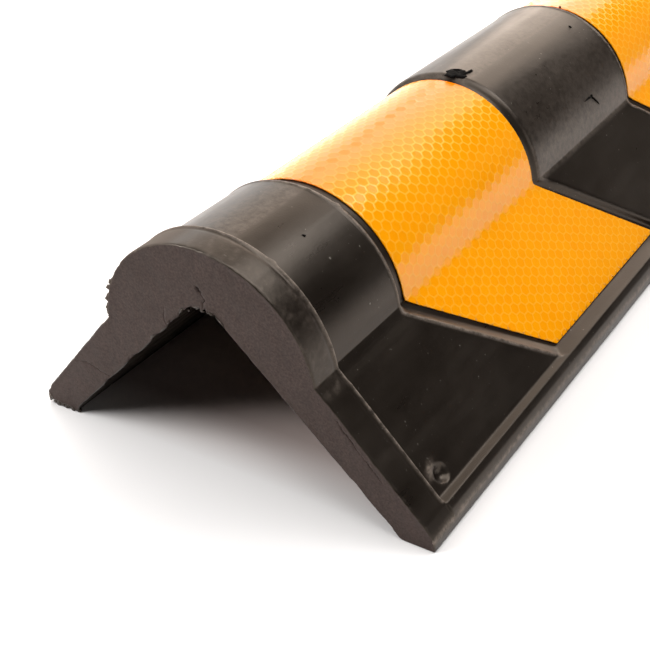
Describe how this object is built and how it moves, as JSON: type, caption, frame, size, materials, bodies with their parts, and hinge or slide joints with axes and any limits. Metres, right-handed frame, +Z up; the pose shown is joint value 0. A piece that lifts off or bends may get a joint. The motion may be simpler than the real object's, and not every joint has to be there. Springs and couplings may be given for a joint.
{
  "type": "rubber corner guard",
  "caption": "Long right-angled rubber corner guard with a round bumper nose, raised lips, black collars and yellow honeycomb reflective sheets, lying like a tent on its flange tips.",
  "frame": {"origin": "on the floor under the middle of the guard, half way along its length and midway between the two flange tips it rests on", "axes": "+X across the guard towards its right-hand flange, +Y along its length, +Z up towards the round nose; seen from the -Y end the right-hand flange is at +X"},
  "size_m": [0.1584, 0.8, 0.0852],
  "materials": {
    "black_rubber": "moulded black rubber, semi-gloss on the flanges, dull where it was cut",
    "yellow_reflective": "glossy amber film over a honeycomb of raised cell walls"
  },
  "bodies": {
    "root": {"rubber_body": "black_rubber", "reflective_sheet_1": "yellow_reflective", "reflective_sheet_2": "yellow_reflective", "reflective_sheet_3": "yellow_reflective", "reflective_sheet_4": "yellow_reflective"}
  },
  "joints": []
}
